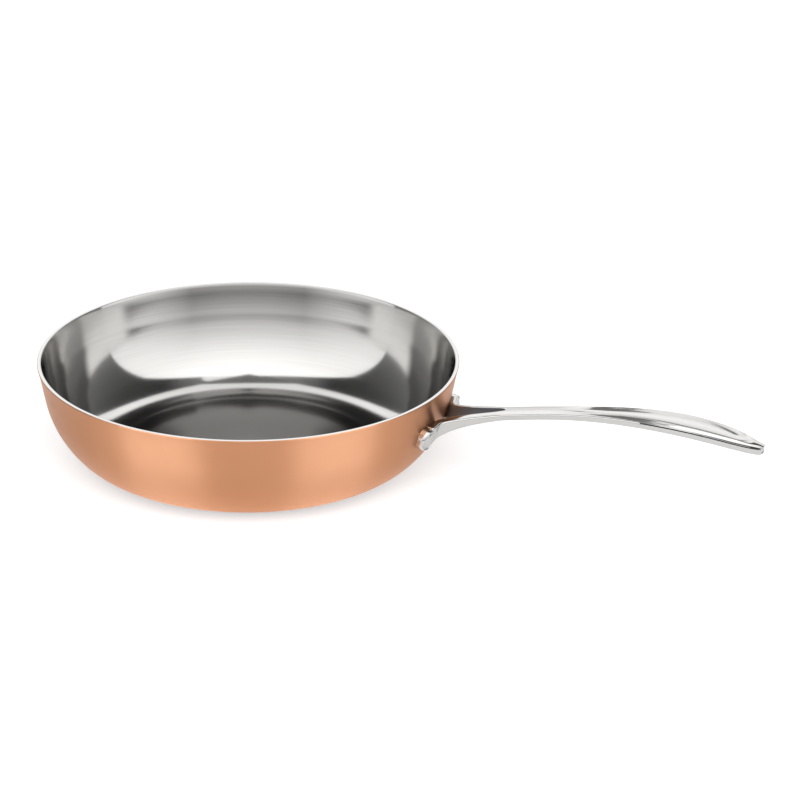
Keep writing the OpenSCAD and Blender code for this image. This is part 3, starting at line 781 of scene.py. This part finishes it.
# a painted pool of light round the base, seen only in the metal, puts a painted bright reflection
# on the copper's heel
where = add(tree, "ShaderNodeTexCoord")
reach = add(tree, "ShaderNodeVectorMath", {0: where.outputs["Object"]}, operation="LENGTH")
painted_light_by_base = add(tree, "ShaderNodeMapRange", {"Value": reach.outputs["Value"],
                                           "From Min": BASE_REACH[0], "From Max": BASE_REACH[1],
                                           "To Min": PAINTED_BASE_GLOW, "To Max": 1.0})
in_metal = add(tree, "ShaderNodeMath", {0: in_metal.outputs[0], 1: painted_light_by_base.outputs[0]},
               operation="MULTIPLY")
glow = add(tree, "ShaderNodeMath", {0: mirrored.outputs[0], 1: in_metal.outputs[0],
                                    2: for_camera.outputs[0]}, operation="MULTIPLY_ADD")
tree.links.new(glow.outputs[0], shader.inputs["Emission Strength"])
floor_mesh.materials.append(white_table)


# Studio light
# A soft lamp in front lights the pan in a pale room. Cards bent round it are seen only in metal: a
# graded white cloth over the front half, dim ones at both sides and a white one behind, with a dark
# card close above that, and one more white piece over the handle. Two cool strip lamps light only
# the copper.

# the camera's own front and right on the level, and the cards' distances in metres
FRONT, RIGHT = Vector((0.3502, -0.9367, 0.0)), Vector((0.9367, 0.3502, 0.0))
STUDIO_R, TOP_CARD_R = 2.6, 0.9
CARD_STEPS_ROUND, CARD_STEPS_UP = 24, 12


def studio_spot(turn, rise, distance):
    """A point round the pan, in degrees to the camera's right and degrees above the table."""
    level = FRONT * cosd(turn) + RIGHT * sind(turn)
    return distance * (level * cosd(rise) + Vector((0.0, 0.0, sind(rise))))


def curved_card(name, turns, rises, distance, paint):
    """A card bent round the pan, out of the picture and seen only in the metal."""
    across, up = CARD_STEPS_ROUND, CARD_STEPS_UP
    spots = [studio_spot(mix(*turns, i / across), mix(*rises, j / up), distance)
             for i in range(across + 1) for j in range(up + 1)]
    mesh = bpy.data.meshes.new(name)
    mesh.from_pydata([tuple(v) for v in spots], [],
                     [(i * (up + 1) + j, (i + 1) * (up + 1) + j, (i + 1) * (up + 1) + j + 1,
                       i * (up + 1) + j + 1) for i in range(across) for j in range(up)])
    mesh.materials.append(paint)
    board = bpy.data.objects.new(name, mesh)
    bpy.context.scene.collection.objects.link(board)
    board.visible_camera = board.visible_diffuse = board.visible_shadow = False


def glow_ramp(tree, share, levels):
    """Half the strength of a glow, as a colour, from pairs of degrees up and strength."""
    ramp = add(tree, "ShaderNodeValToRGB", {0: share})
    stops = ramp.color_ramp.elements
    for rise, strength in levels[2:]:
        stops.new(sind(rise))
    for stop, (rise, strength) in zip(stops, levels):
        stop.position, stop.color = sind(rise), (strength / 2,) * 3 + (1.0,)
    return ramp.outputs[0]


def weaker(levels):
    """The same grading at two fifths of its strength, for a second mirroring."""
    return tuple((rise, 0.4 * strength) for rise, strength in levels)


def graded(tree, share, across, ends, middle, sides):
    """A glow that changes with height and, from one end to the other, from middle to sides."""
    aside = add(tree, "ShaderNodeMapRange", {"Value": across, "From Min": ends[0] * STUDIO_R,
                                             "From Max": ends[1] * STUDIO_R})
    blend = add(tree, "ShaderNodeMix", {0: aside.outputs[0], 6: glow_ramp(tree, share, middle),
                                        7: glow_ramp(tree, share, sides)}, data_type="RGBA")
    return blend.outputs[2]


# how far to the right and left the middle's grading gives way to the sides', as shares of STUDIO_R,
# in the first mirroring and in the second, and the glow before and after a diffuse bounce
FIRST_ENDS, SECOND_ENDS = (0.53, 0.95), (0.42, 0.56)
CARD_GLOW, CARD_GLOW_BOUNCED = 2.0, 0.4


def glowing_cloth(name, first, second):
    """Cloth lit by height and side, one way for the first mirroring and another for the second."""
    cloth, tree, _ = new_material(name, {})
    where = add(tree, "ShaderNodeTexCoord")
    parts = add(tree, "ShaderNodeSeparateXYZ", {0: where.outputs["Object"]})
    share = add(tree, "ShaderNodeMath", {0: parts.outputs[2], 1: STUDIO_R}, operation="DIVIDE")
    across = add(tree, "ShaderNodeVectorMath", {0: where.outputs["Object"], 1: RIGHT},
                 operation="DOT_PRODUCT")
    across = add(tree, "ShaderNodeMath", {0: across.outputs["Value"]}, operation="ABSOLUTE")
    ray = add(tree, "ShaderNodeLightPath")
    again = add(tree, "ShaderNodeMapRange", {"Value": ray.outputs["Glossy Depth"],
                                             "From Min": 1.0, "From Max": 2.0})
    level = add(tree, "ShaderNodeMix", {
        0: again.outputs[0],
        6: graded(tree, share.outputs[0], across.outputs[0], FIRST_ENDS, *first),
        7: graded(tree, share.outputs[0], across.outputs[0], SECOND_ENDS, *second)},
        data_type="RGBA")
    strength = add(tree, "ShaderNodeMapRange", {"Value": ray.outputs["Diffuse Depth"],
                                                "To Min": CARD_GLOW, "To Max": CARD_GLOW_BOUNCED})
    glow = add(tree, "ShaderNodeEmission", {"Color": level.outputs[2],
                                            "Strength": strength.outputs[0]})
    tree.links.new(glow.outputs[0], tree.nodes["Material Output"].inputs["Surface"])
    return cloth


# Lit white cloth: bright overhead and fading to the table, which gives the metal its soft shading.
# Gradings are pairs of degrees up and strength, for the middle and the sides of the first mirroring
# and then of the second.
front_cloth = glowing_cloth(
    "lit_white_cloth",
    (((0, 0.15), (5, 0.27), (7, 0.33), (8, 0.48), (10, 0.51), (12, 0.68), (15, 0.93), (24, 1.1),
      (34, 1.3), (44, 1.5), (54, 1.65), (67, 1.8), (88, 1.9)),
     ((0, 0.25), (2, 0.4), (4, 0.9), (6, 1.15), (10, 1.25), (15, 1.3), (22, 1.4), (30, 1.55),
      (90, 1.8))),
    (((0, 0.3), (8, 0.8), (14, 1.15), (18, 1.15), (21, 1.4), (24, 1.9), (28, 2.0), (33, 1.6),
      (40, 0.7), (46, 0.55), (60, 0.6), (90, 0.75)),
     ((0, 0.6), (8, 1.0), (12, 1.0), (14, 0.7), (20, 0.6), (22, 0.4), (25, 0.25), (31, 0.16),
      (45, 0.1), (70, 0.2), (90, 0.7))))
# Dim black cloth gives the metal its dark fields, and the white cloth behind gives the handle's top
# its light one.
dim = ((5, 0.32), (12, 0.28), (20, 0.2), (30, 0.14), (45, 0.08), (62, 0.05), (70, 0.2), (78, 0.3))
dark_cloth = glowing_cloth("dim_black_cloth", (dim, dim), (weaker(dim), weaker(dim)))
back = ((0, 0.3), (6, 0.9), (15, 1.0), (30, 1.35), (45, 1.45), (65, 1.2), (90, 1.3))
back_cloth = glowing_cloth("back_white_cloth", (back, back), (weaker(back), weaker(back)))
curved_card("front_panel", (-90, 90), (-1, 90), STUDIO_R, front_cloth)
for side, top in ((-1, 90), (1, 75)):
    curved_card("side_card", (90 * side, 131 * side), (-1, top), STUDIO_R, dark_cloth)
    curved_card("back_side_card", (131 * side, 145 * side), (-1, top), STUDIO_R, dark_cloth)
curved_card("back_card", (145, 215), (-1, 90), STUDIO_R, back_cloth)
curved_card("handle_ceiling", (90, 145), (75, 90), STUDIO_R, back_cloth)
curved_card("back_top_card", (145, 215), (68, 90), TOP_CARD_R, dark_cloth)


def softbox(name, size, place, radiance):
    """A soft lamp of so many metres that faces the pan, seen neither by the camera nor in metal."""
    lamp = bpy.data.lights.new(name, "AREA")
    lamp.shape, lamp.size, lamp.size_y = "RECTANGLE", size[0], size[1]
    lamp.energy = radiance * math.pi * size[0] * size[1]
    holder = bpy.data.objects.new(name, lamp)
    bpy.context.scene.collection.objects.link(holder)
    holder.location = place
    holder.rotation_euler = (-place).to_track_quat("-Z", "Y").to_euler()
    holder.visible_camera = holder.visible_glossy = False
    return holder


softbox("front", size=(2.4, 1.6), place=FRONT * 1.5 + Vector((0.0, 0.0, 1.5)), radiance=3.4)
# a cool strip light at each side of the camera, mirrored by the copper skin and nothing else
STRIP_TURNS, STRIP_RISE, STRIP_R = (-47, 46), 14, 2.2
copper_only = bpy.data.collections.new("copper_only")
copper_only.objects.link(copper_shell)
for turn in STRIP_TURNS:
    strip = softbox("strip_light", size=(1.7, 0.7), place=studio_spot(turn, STRIP_RISE, STRIP_R),
                    radiance=9.8)
    strip.visible_glossy, strip.visible_diffuse = True, False
    strip.data.color = linear("#D2EAFF")[:3]
    strip.light_linking.receiver_collection = copper_only
    # none of their light goes on from the copper to the table
    strip.data.use_nodes = True
    tree = strip.data.node_tree
    ray = add(tree, "ShaderNodeLightPath")
    in_copper = add(tree, "ShaderNodeMapRange", {"Value": ray.outputs["Diffuse Depth"],
                                                 "To Min": 1.0, "To Max": 0.0})
    tree.links.new(in_copper.outputs[0], tree.nodes["Emission"].inputs["Strength"])

# the pale room, white where the camera or the metal looks at it and dimmer as a light
ROOM_LIGHT, ROOM_SEEN = 0.6, 1.0
world = bpy.data.worlds.new("studio")
bpy.context.scene.world = world
world.use_nodes = True
tree = world.node_tree
ray = add(tree, "ShaderNodeLightPath")
seen = add(tree, "ShaderNodeMath", {0: ray.outputs["Is Camera Ray"],
                                    1: ray.outputs["Is Glossy Ray"]}, operation="MAXIMUM")
seen = add(tree, "ShaderNodeMath", {0: seen.outputs[0], 1: ray.outputs["Is Transmission Ray"]},
           operation="MAXIMUM")
level = add(tree, "ShaderNodeMapRange", {"Value": seen.outputs[0], "To Min": ROOM_LIGHT,
                                         "To Max": ROOM_SEEN})
tree.nodes["Background"].inputs["Color"].default_value = (1.0, 1.0, 1.0, 1.0)
tree.links.new(level.outputs[0], tree.nodes["Background"].inputs["Strength"])

bpy.context.scene.view_settings.view_transform = "Standard"
